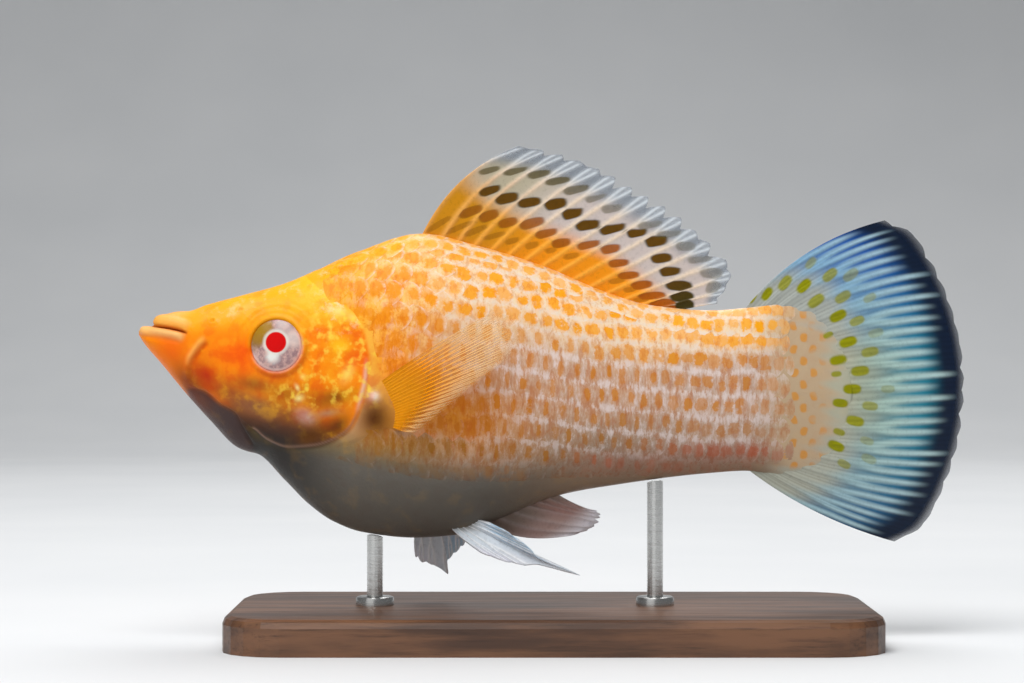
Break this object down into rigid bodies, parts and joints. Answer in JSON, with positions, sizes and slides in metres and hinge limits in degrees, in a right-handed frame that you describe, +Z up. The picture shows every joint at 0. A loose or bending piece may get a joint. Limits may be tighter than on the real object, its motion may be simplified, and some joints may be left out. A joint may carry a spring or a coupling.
{
  "type": "sailfin molly model",
  "caption": "Life-size model of a male sailfin molly with its dorsal fin raised, held level over a flat base by two short rods.",
  "frame": {"origin": "centre of the bounding box on the surface that the base stands on", "axes": "+X towards the tail, -X the way the fish faces, -Y its left side, +Z up"},
  "size_m": [0.0827, 0.032, 0.0494],
  "materials": {
    "gold_skin": "wet skin, orange gold with pearly glints, red orange at the jaw",
    "pearl_skin": "wet scales, pearly white with an orange spot on each",
    "eye": "clear cornea over a silvery pink iris and a red pupil",
    "sail_membrane": "thin fin, orange at the base and milky above with rows of olive spots",
    "tail_membrane": "thin fin, pale green and blue between white rays, spotted near its base",
    "belly_membrane": "thin fin, milky white with a blue tint",
    "pectoral_membrane": "clear thin fin with fine rays, orange at its base",
    "dark_wood": "oiled dark walnut",
    "steel": "brushed stainless rod"
  },
  "bodies": {
    "root": {"head": "gold_skin", "lower_jaw": "gold_skin", "gill_cover_left": "gold_skin", "gill_cover_right": "gold_skin", "trunk": "pearl_skin", "tail_stalk": "pearl_skin", "eye_left": "eye", "eye_right": "eye", "dorsal_fin": "sail_membrane", "tail_fin": "tail_membrane", "anal_fin": "belly_membrane", "pelvic_fin_left": "belly_membrane", "pelvic_fin_right": "belly_membrane", "pectoral_fin_left": "pectoral_membrane", "pectoral_fin_right": "pectoral_membrane", "stand_base": "dark_wood", "stand_rod_front": "steel", "stand_rod_rear": "steel"}
  },
  "joints": []
}
